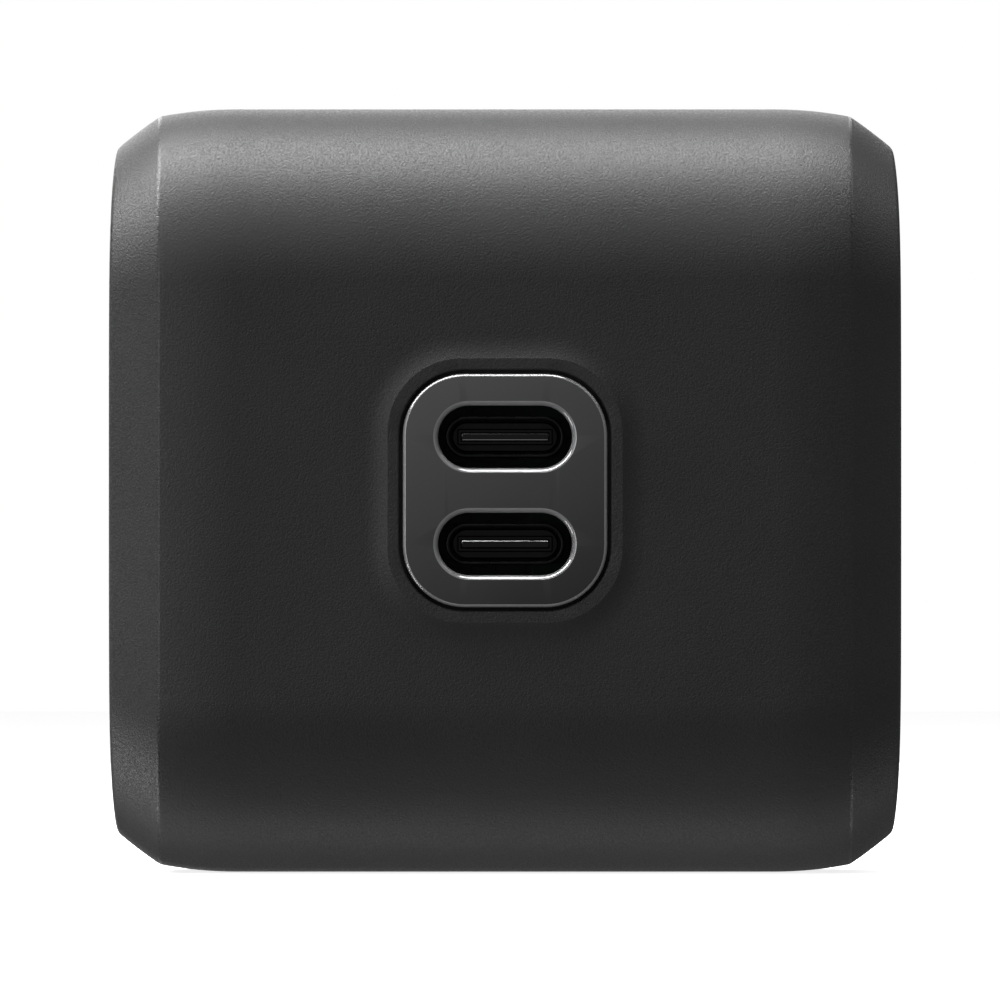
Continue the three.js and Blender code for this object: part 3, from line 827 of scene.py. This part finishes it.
def port_plate():
    bm = bmesh.new()
    flange_y = plate_high.y - FLANGE_THICK
    rim = loft(bm, rolled(PLATE_SHAPE, PLATE_Y, PLATE_EDGE, side=-1, segments=ROUND_STEPS) + [
        ring(PLATE_SHAPE, flange_y, segments=ROUND_STEPS), ring(FLANGE, flange_y, segments=ROUND_STEPS),
        ring(FLANGE, plate_high.y, segments=ROUND_STEPS)])
    mouths = [
        loft(bm, rolled(MOUTH, PLATE_Y, MOUTH_EDGE, side=1, middle=(0, z), segments=MOUTH_STEPS) + [
            ring(MOUTH, plate_high.y, middle=(0, z), segments=MOUTH_STEPS)])
        for z in PORTS_Z]
    fill_between(bm, rim["first"], *(mouth["first"] for mouth in mouths))
    fill_between(bm, rim["last"], *(mouth["last"] for mouth in mouths))
    for face in rim["faces"]:
        if face.calc_center_median().y < PLATE_Y + PLATE_EDGE:
            face.material_index = 1
    for mouth in mouths:
        for face in mouth["faces"]:
            face.material_index = 1 if face.calc_center_median().y < PLATE_Y + MOUTH_EDGE else 2
    piece_from(bm, "port_plate", (PLATE, POLISHED, MOUTH_WALL), "case", "bezel", "port_bezel")


port_plate()

# %% [markdown]
# ## Sockets
# A reversible USB socket is a drawn oval tube with a thin tongue in its middle. The tube's mouth is
# coined to a small lead-in. Twelve gold-plated contacts lie on each side of the tongue. The steel plate in
# the tongue's middle shows at its front, on the side towards the other socket.

# %% Socket tubes
TUBE_WALL = 0.3 * MM
TUBE_ROLL = 0.1 * MM


def socket_tube(level, z):
    low, high = (Vector(corner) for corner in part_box(f"usb_c_shell_{level}"))
    width, height = high.x - low.x, high.z - low.z
    outer = (width, height, height / 2)
    inner = grown(outer, -TUBE_WALL)
    place = {"middle": (0, z), "segments": MOUTH_STEPS}
    outside = rolled(outer, low.y, TUBE_ROLL, side=-1, **place)
    inside = rolled(inner, low.y, TUBE_ROLL, side=1, **place)
    back_out = ring(outer, high.y, **place)
    back_in = ring(inner, high.y, **place)
    bm = bmesh.new()
    loft(bm, [back_out] + outside[::-1] + inside + [back_in, back_out])
    piece_from(bm, f"socket_tube_{level}", (TUBE_STEEL,), "case", "steel", f"usb_c_shell_{level}")


for level, z in zip(LEVELS, PORTS_Z):
    socket_tube(level, z)

# %% Tongues
TONGUE_THICK = 0.7 * MM
TONGUE_WIDTH = 6.69 * MM
TONGUE_LEAD = 0.16 * MM
BASE_THICK = 1.2 * MM
BASE_OUT = 0.25 * MM           # how far the tongue's thick root stands out at each side
BASE_LENGTH = 4.4 * MM
BLOCK_LENGTH = 2.2 * MM
BLOCK_ROLL = 0.1 * MM
TUCK = 1 * MM                  # how far before the block's back the tongue and its root end
STEEL_TILT = 0.2               # least slope of a face of the steel edge, as a part of its normal
CONTACTS = 12
CONTACT_PITCH = 0.5 * MM
CONTACT = (0.27 * MM, 4.2 * MM, 0.04 * MM)
CONTACT_SETBACK = 0.45 * MM
CONTACT_ROLL = 0.015 * MM


def tongue_tip(low, high, z):
    """The thin front part of a tongue, with a small lead all round its front."""
    half = TONGUE_WIDTH / 2
    tip = box_between((-half, low.y, z - TONGUE_THICK / 2), (half, high.y - TUCK, z + TONGUE_THICK / 2))
    lead = [e for e in tip.edges if all(v.co.y < low.y + SAME for v in e.verts)]
    round_off(tip, lead, TONGUE_LEAD, 3)
    tip.normal_update()
    inward = 1 if z < 0 else -1
    for face in tip.faces:
        if face.normal.z * inward > STEEL_TILT and face.normal.y < -STEEL_TILT:
            face.material_index = 2
    return tip


def socket_tongue(level, z):
    low, high = (Vector(corner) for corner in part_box(f"usb_c_tongue_{level}"))
    bm = bmesh.new()
    paste(bm, tongue_tip(low, high, z))
    half = TONGUE_WIDTH / 2 + BASE_OUT
    thick = BASE_THICK / 2
    paste(bm, box_between(
        (-half, high.y - BASE_LENGTH, z - thick), (half, high.y - TUCK, z + thick), BLOCK_ROLL))
    end_shape = (high.x - low.x, high.z - low.z, (high.z - low.z) / 2)
    front = rolled(end_shape, high.y - BLOCK_LENGTH, BLOCK_ROLL, side=-1, middle=(0, z))
    paste(bm, block_from(front + [ring(end_shape, high.y, middle=(0, z))]))
    width, length, rise = CONTACT
    start = low.y + CONTACT_SETBACK
    for side in (-1, 1):
        surface = z + side * (TONGUE_THICK / 2 - rise / 4)
        for i in range(CONTACTS):
            x = (i - (CONTACTS - 1) / 2) * CONTACT_PITCH
            contact = box_between(
                (x - width / 2, start, surface - rise / 2),
                (x + width / 2, start + length, surface + rise / 2), CONTACT_ROLL, 1)
            for face in paste(bm, contact)["faces"]:
                face.material_index = 1
    finishes = (TONGUE_BLACK_AND_SHADE, GOLD, TONGUE_EDGE)
    piece_from(bm, f"socket_tongue_{level}", finishes, "case", "black_plastic", f"usb_c_tongue_{level}")


for level, z in zip(LEVELS, PORTS_Z):
    socket_tongue(level, z)

# %% [markdown]
# ## Folding plug
# The carrier is a moulded drum with two flats, and it turns on a pivot at each end. One flat lies flush
# with the back when the blades are out, and the other when they are folded. The blades are stamped from
# strip and moulded in, so only the parts outside the drum show.

# %% Carrier
FLAT_ROLL = 0.35 * MM
PIVOT_RADIUS = 2 * MM
PIVOT_ROLL = 0.2 * MM
PIVOT_TUCK = 1 * MM            # how far a pivot starts inside the drum


def carrier():
    bm = bmesh.new()
    bmesh.ops.create_circle(bm, cap_ends=True, segments=96, radius=DRUM_RADIUS)
    for plane_co, plane_no in (((DRUM_FLAT, 0, 0), (1, 0, 0)), ((0, -DRUM_FLAT, 0), (0, -1, 0))):
        bmesh.ops.bisect_plane(
            bm, geom=everything(bm), dist=ON_PLANE, plane_co=plane_co, plane_no=plane_no, clear_outer=True)
    bmesh.ops.rotate(bm, matrix=STAND_UP, verts=bm.verts)
    bmesh.ops.translate(bm, vec=(-DRUM_HALF, HINGE.y, HINGE.z), verts=bm.verts)
    extruded = bmesh.ops.extrude_face_region(bm, geom=bm.faces[:])["geom"]
    bmesh.ops.translate(bm, vec=(2 * DRUM_HALF, 0, 0), verts=verts_of(extruded))
    bmesh.ops.dissolve_limit(bm, angle_limit=math.radians(1), verts=bm.verts, edges=bm.edges)
    bmesh.ops.recalc_face_normals(bm, faces=bm.faces)
    round_off(bm, crisp_edges(bm, 20), FLAT_ROLL, 4, clamp=True)
    pivot_length = CARRIER_END - DRUM_HALF
    for side in (-1, 1):
        paste(bm, rod_along_x(
            PIVOT_RADIUS, pivot_length + PIVOT_TUCK, HINGE.y, HINGE.z, PIVOT_ROLL, sides=40,
            x=side * (DRUM_HALF + (pivot_length - PIVOT_TUCK) / 2)))
    piece_from(bm, "carrier", (CARRIER_PLASTIC,), "folding_plug", "black_plastic", "plug_carrier")


carrier()

# %% Blades
TIP_CUT = 1.2 * MM
BLADE_HOLE = 1.5 * MM
HOLE_AT = 15.2 * MM
BLADE_ROLL = 0.16 * MM
BLADE_TUCK = 0.5 * MM          # how far a blade's broad part starts inside the drum
NECK_WIDTH = 5 * MM
NECK_BACK = 3 * MM             # from the hinge to where the neck ends
TAIL_WIDTH = 2.4 * MM
TAIL_BACK = 7 * MM             # from the hinge to the tail's end
LAP = 0.2 * MM                 # how far one part of the strip reaches into the next
STRIP_ROLL = 0.1 * MM
ROOT_MARGIN = 0.1 * MM
SHORT_EDGE = 2 * MM
BROAD_NORMAL = 0.9999          # a face this square to the strip is one of its broad faces


def blade(name, side, node):
    x = side * BLADE_X
    start = HINGE.y + DRUM_FLAT - BLADE_TUCK
    length = BLADE_TIP_Y - start
    bm = bmesh.new()
    tips = [v for v in flat_sheet(bm, length, BLADE_WIDTH) if v.co.x > 0]
    bmesh.ops.bevel(
        bm, geom=tips, offset=TIP_CUT, offset_type="OFFSET", affect="VERTICES", segments=3, profile=0.42,
        material=-1)
    bmesh.ops.delete(bm, geom=bm.faces[:], context="FACES_ONLY")
    bmesh.ops.translate(bm, vec=(start + length / 2, 0, 0), verts=bm.verts)
    hole = bmesh.ops.create_circle(bm, cap_ends=False, segments=40, radius=BLADE_HOLE)["verts"]
    bmesh.ops.translate(bm, vec=(HINGE.y + HOLE_AT, 0, 0), verts=hole)
    bmesh.ops.triangle_fill(bm, use_beauty=True, use_dissolve=False, edges=bm.edges)
    bmesh.ops.rotate(bm, matrix=STAND_UP, verts=bm.verts)
    bmesh.ops.translate(bm, vec=(x - BLADE_THICK / 2, 0, HINGE.z), verts=bm.verts)
    extruded = bmesh.ops.extrude_face_region(bm, geom=bm.faces[:])["geom"]
    bmesh.ops.translate(bm, vec=(BLADE_THICK, 0, 0), verts=verts_of(extruded))
    bmesh.ops.recalc_face_normals(bm, faces=bm.faces)
    # The short edges at the root lie inside the drum and stay crisp.
    crisp = [
        e for e in crisp_edges(bm, 60)
        if min(v.co.y for v in e.verts) > start + ROOT_MARGIN or e.calc_length() > SHORT_EDGE]
    round_off(bm, crisp, BLADE_ROLL, 3, clamp=True)
    thick = BLADE_THICK / 2
    for back, front, width in (
            (HINGE.y - NECK_BACK, start + LAP, NECK_WIDTH),
            (HINGE.y - TAIL_BACK, HINGE.y - NECK_BACK + LAP, TAIL_WIDTH)):
        paste(bm, box_between(
            (x - thick, back, HINGE.z - width / 2), (x + thick, front, HINGE.z + width / 2), STRIP_ROLL))
    piece = piece_from(bm, name, (NICKEL,), "folding_plug", "nickel_plate", node)
    # Flat shading keeps the hole's corners from showing as a star on the broad faces.
    for polygon in piece.data.polygons:
        if abs(polygon.normal.x) > BROAD_NORMAL:
            polygon.use_smooth = False


blade("plug_blade_left", -1, "blade_left")
blade("plug_blade_right", 1, "blade_right")

# %% [markdown]
# ## Inside the case
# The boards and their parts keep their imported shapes. Each gets the finish of its own kind: solder mask
# with tracks under it, ground ferrite, wound tape, shrink sleeve, drawn cans and so on.

# %% Finishes of the inner pieces
BAND_PERIOD = 0.314            # width of one band of a wave texture at scale 1, in metres
TRACK_CELL = 2.4 * MM


def worked(name, low, high, rough, size, depth, metal=0.0, bands=None):
    """Blotches of two sizes, a fine bump, and bands where a piece is wound or ribbed."""
    finish = Finish(name)
    cloud = finish.noise(size * 8, detail=4)
    fine = finish.noise(size, detail=2)
    height = fine
    if bands:
        axis, pitch = bands
        wave = finish.node(
            "ShaderNodeTexWave", {"wave_type": "BANDS", "bands_direction": axis},
            {"Vector": finish.place, "Scale": BAND_PERIOD / pitch, "Distortion": 0.4, "Detail": 1.0},
            output="Fac")
        height = wave * 0.8 + fine * 0.2
    colour = finish.tint(cloud * 0.6 + height * 0.4, low, high)
    skin = finish.bump(height, depth, 0.6)
    return finish.surface(
        base_color=colour, metallic=metal, roughness=rough + cloud * 0.12 + fine * 0.05, normal=skin)


def solder_mask():
    finish = Finish("solder_mask")
    cell = finish.node(
        "ShaderNodeTexVoronoi", {"feature": "DISTANCE_TO_EDGE"},
        {"Vector": finish.place, "Scale": 1 / TRACK_CELL, "Randomness": 0.6}, output="Distance")
    track = finish.ramp(cell, [(0.10, 0.0), (0.13, 1.0)])
    weave = finish.noise(0.2 * MM, detail=2)
    colour = finish.tint(track * 0.75 + weave * 0.25, (0.004, 0.035, 0.016), (0.01, 0.075, 0.035))
    skin = finish.bump(track + weave * 0.2, 0.03 * MM, 0.5)
    return finish.surface(base_color=colour, roughness=0.28 + weave * 0.12, normal=skin)


INNER = {
    "board": solder_mask(),
    "steel": drawn_metal("screw_steel", (0.38, 0.38, 0.39), (0.55, 0.55, 0.56), 0.25, (1, 1, 0.2)),
    "spring_bronze": drawn_metal("spring_bronze", (0.55, 0.32, 0.14), (0.68, 0.42, 0.2), 0.22, (1, 1, 0.1)),
    "black_plastic": worked("bracket_plastic", (0.008,) * 3, (0.016,) * 3, 0.4, 0.15 * MM, 0.01 * MM),
    "wire": worked("wire_cover", (0.006,) * 3, (0.014,) * 3, 0.35, 0.2 * MM, 0.008 * MM),
    "film": worked("insulating_film", (0.5, 0.46, 0.36), (0.62, 0.58, 0.48), 0.35, 0.4 * MM, 0.004 * MM),
    "ferrite": worked("ground_ferrite", (0.02, 0.02, 0.022), (0.04, 0.04, 0.045), 0.6, 0.12 * MM,
                      0.02 * MM),
    "tape": worked("wound_tape", (0.5, 0.3, 0.03), (0.62, 0.4, 0.06), 0.35, 0.3 * MM, 0.03 * MM,
                   bands=("Z", 2.5 * MM)),
    "sleeved_can": worked("shrink_sleeve", (0.012, 0.016, 0.07), (0.02, 0.028, 0.1), 0.3, 0.5 * MM,
                          0.006 * MM),
    "winding": worked("enamelled_wire", (0.3, 0.09, 0.02), (0.5, 0.17, 0.05), 0.22, 0.2 * MM, 0.2 * MM,
                      metal=0.8, bands=("DIAGONAL", 0.9 * MM)),
    "yellow_box": worked("yellow_box", (0.5, 0.38, 0.03), (0.6, 0.47, 0.06), 0.4, 0.3 * MM, 0.006 * MM),
    "chip": worked("chip_body", (0.008,) * 3, (0.016,) * 3, 0.55, 0.1 * MM, 0.012 * MM),
    "bare_can": drawn_metal("drawn_can", (0.6, 0.61, 0.62), (0.72, 0.73, 0.74), 0.3, (1, 0.1, 1)),
    "aluminium": drawn_metal("rolled_sheet", (0.58, 0.59, 0.6), (0.7, 0.71, 0.72), 0.35, (0.1, 1, 1)),
}
slot_of = {part["node"]: part["material_slot"] for part in frame["record"]["subparts"]}
dressed = 0
for name, node in frame["nodes"].items():
    if node.hide_render:
        continue
    for material_slot in node.material_slots:
        material_slot.material = INNER[slot_of[name]]
    dressed += 1
print("inner pieces dressed:", dressed)

# %% [markdown]
# ## Camera, floor and light
# The charger is seen square on, from far away. Ten soft boxes light it. The strongest hangs above and a
# little behind it, so the rounded top edge catches a broad highlight. Weaker ones stand at the sides, in
# front and below, for the chamfers and the lower round, and one stands behind it for views of the back.

# %% Camera
VIEW_WIDTH = 75.95 * MM
CAMERA_FAR = 2.0
CAMERA_X = -0.38 * MM
CAMERA_Z = -0.72 * MM
SENSOR = 36.0
camera_data = bpy.data.cameras.new("camera")
camera_data.sensor_width = SENSOR
camera_data.lens = SENSOR * CAMERA_FAR / VIEW_WIDTH
camera_data.clip_start = 0.1
camera_data.clip_end = 20
camera = bpy.data.objects.new("camera", camera_data)
camera.location = (CAMERA_X, -HALF_DEPTH - CAMERA_FAR, CAMERA_Z)
camera.rotation_euler = (math.radians(90), 0, 0)
bpy.context.scene.collection.objects.link(camera)
bpy.context.scene.camera = camera
print("camera lens, mm:", round(camera_data.lens))

# %% Floor and backdrop
FLOOR_HALF = 1.5
FLOOR_GAP = 0.05 * MM
FILL_STRENGTH = 0.16


def floor_paint():
    finish = Finish("floor_paint")
    mottle = finish.noise(0.08, detail=2)
    colour = finish.tint(mottle, (0.86, 0.86, 0.86), (0.9, 0.9, 0.9))
    return finish.surface(
        base_color=colour, roughness=0.9, emission_color=(1, 1, 1, 1), emission_strength=0.8)


floor_mesh = bmesh.new()
bmesh.ops.create_grid(floor_mesh, x_segments=4, y_segments=4, size=FLOOR_HALF)
bmesh.ops.translate(floor_mesh, vec=(0, 0, -HALF_HEIGHT - FLOOR_GAP), verts=floor_mesh.verts)
floor = linked(floor_mesh, "floor")
floor.data.materials.append(floor_paint())
floor.visible_diffuse = False
floor.visible_glossy = False
floor.visible_shadow = False

scene = bpy.context.scene
scene.view_settings.view_transform = "Standard"
scene.view_settings.look = "None"
world = bpy.data.worlds.new("studio")
scene.world = world
world.use_nodes = True
nodes, links = world.node_tree.nodes, world.node_tree.links
nodes.clear()
seen = nodes.new("ShaderNodeLightPath")
paper = nodes.new("ShaderNodeBackground")
fill = nodes.new("ShaderNodeBackground")
for backdrop, strength in ((paper, 1.0), (fill, FILL_STRENGTH)):
    backdrop.inputs["Color"].default_value = (1, 1, 1, 1)
    backdrop.inputs["Strength"].default_value = strength
pick = nodes.new("ShaderNodeMixShader")
out = nodes.new("ShaderNodeOutputWorld")
links.new(seen.outputs["Is Camera Ray"], pick.inputs[0])
links.new(fill.outputs[0], pick.inputs[1])
links.new(paper.outputs[0], pick.inputs[2])
links.new(pick.outputs[0], out.inputs["Surface"])
print("floor:", floor.name, "world:", world.name)


# %% Lights
def soft_light(name, around, off, distance, width, depth, power):
    """A soft box that looks at the charger. off is its angle from the line to the camera, and around is
    how far it is turned to the right of straight up. width runs round that line and depth along it."""
    data = bpy.data.lights.new(name, "AREA")
    data.shape = "RECTANGLE"
    data.size = width
    data.size_y = depth
    data.energy = power
    light = bpy.data.objects.new(name, data)
    a, o = math.radians(around), math.radians(off)
    away = Vector((math.sin(a) * math.sin(o), -math.cos(o), math.cos(a) * math.sin(o)))
    along = Vector((0, 1, 0)).cross(away).normalized()
    turn = Matrix((along, away.cross(along), away)).transposed().to_4x4()
    light.matrix_world = Matrix.Translation(Vector((0, -HALF_DEPTH, 0)) + away * distance) @ turn
    light.visible_camera = False
    bpy.context.scene.collection.objects.link(light)


LIGHTS = {
    # around and off in degrees, then distance, width and depth in metres, and power in watts
    "top_box": (-23, 93, 0.5, 0.84, 0.26, 9.3),
    "back_box": (-10, 152, 0.6, 0.5, 0.2, 0.7),
    "front_top_box": (-8, 35, 0.8, 0.2, 0.08, 0.5),
    "left_box": (-82, 35, 0.6, 0.4, 0.2, 0.58),
    "right_box": (45, 96, 0.5, 0.25, 0.2, 0.35),
    "under_box": (-165, 97, 0.5, 0.5, 0.15, 0.44),
    "low_left_box": (-122, 94, 0.5, 0.25, 0.2, 0.8),
    "low_right_box": (140, 96, 0.5, 0.2, 0.15, 0.22),
    "low_front_box": (-175, 48, 0.6, 0.3, 0.05, 0.07),
    "rear_box": (-60, 168, 0.8, 0.5, 0.5, 1.6),
}
for name, settings in LIGHTS.items():
    soft_light(name, *settings)
print("lights:", len(LIGHTS))
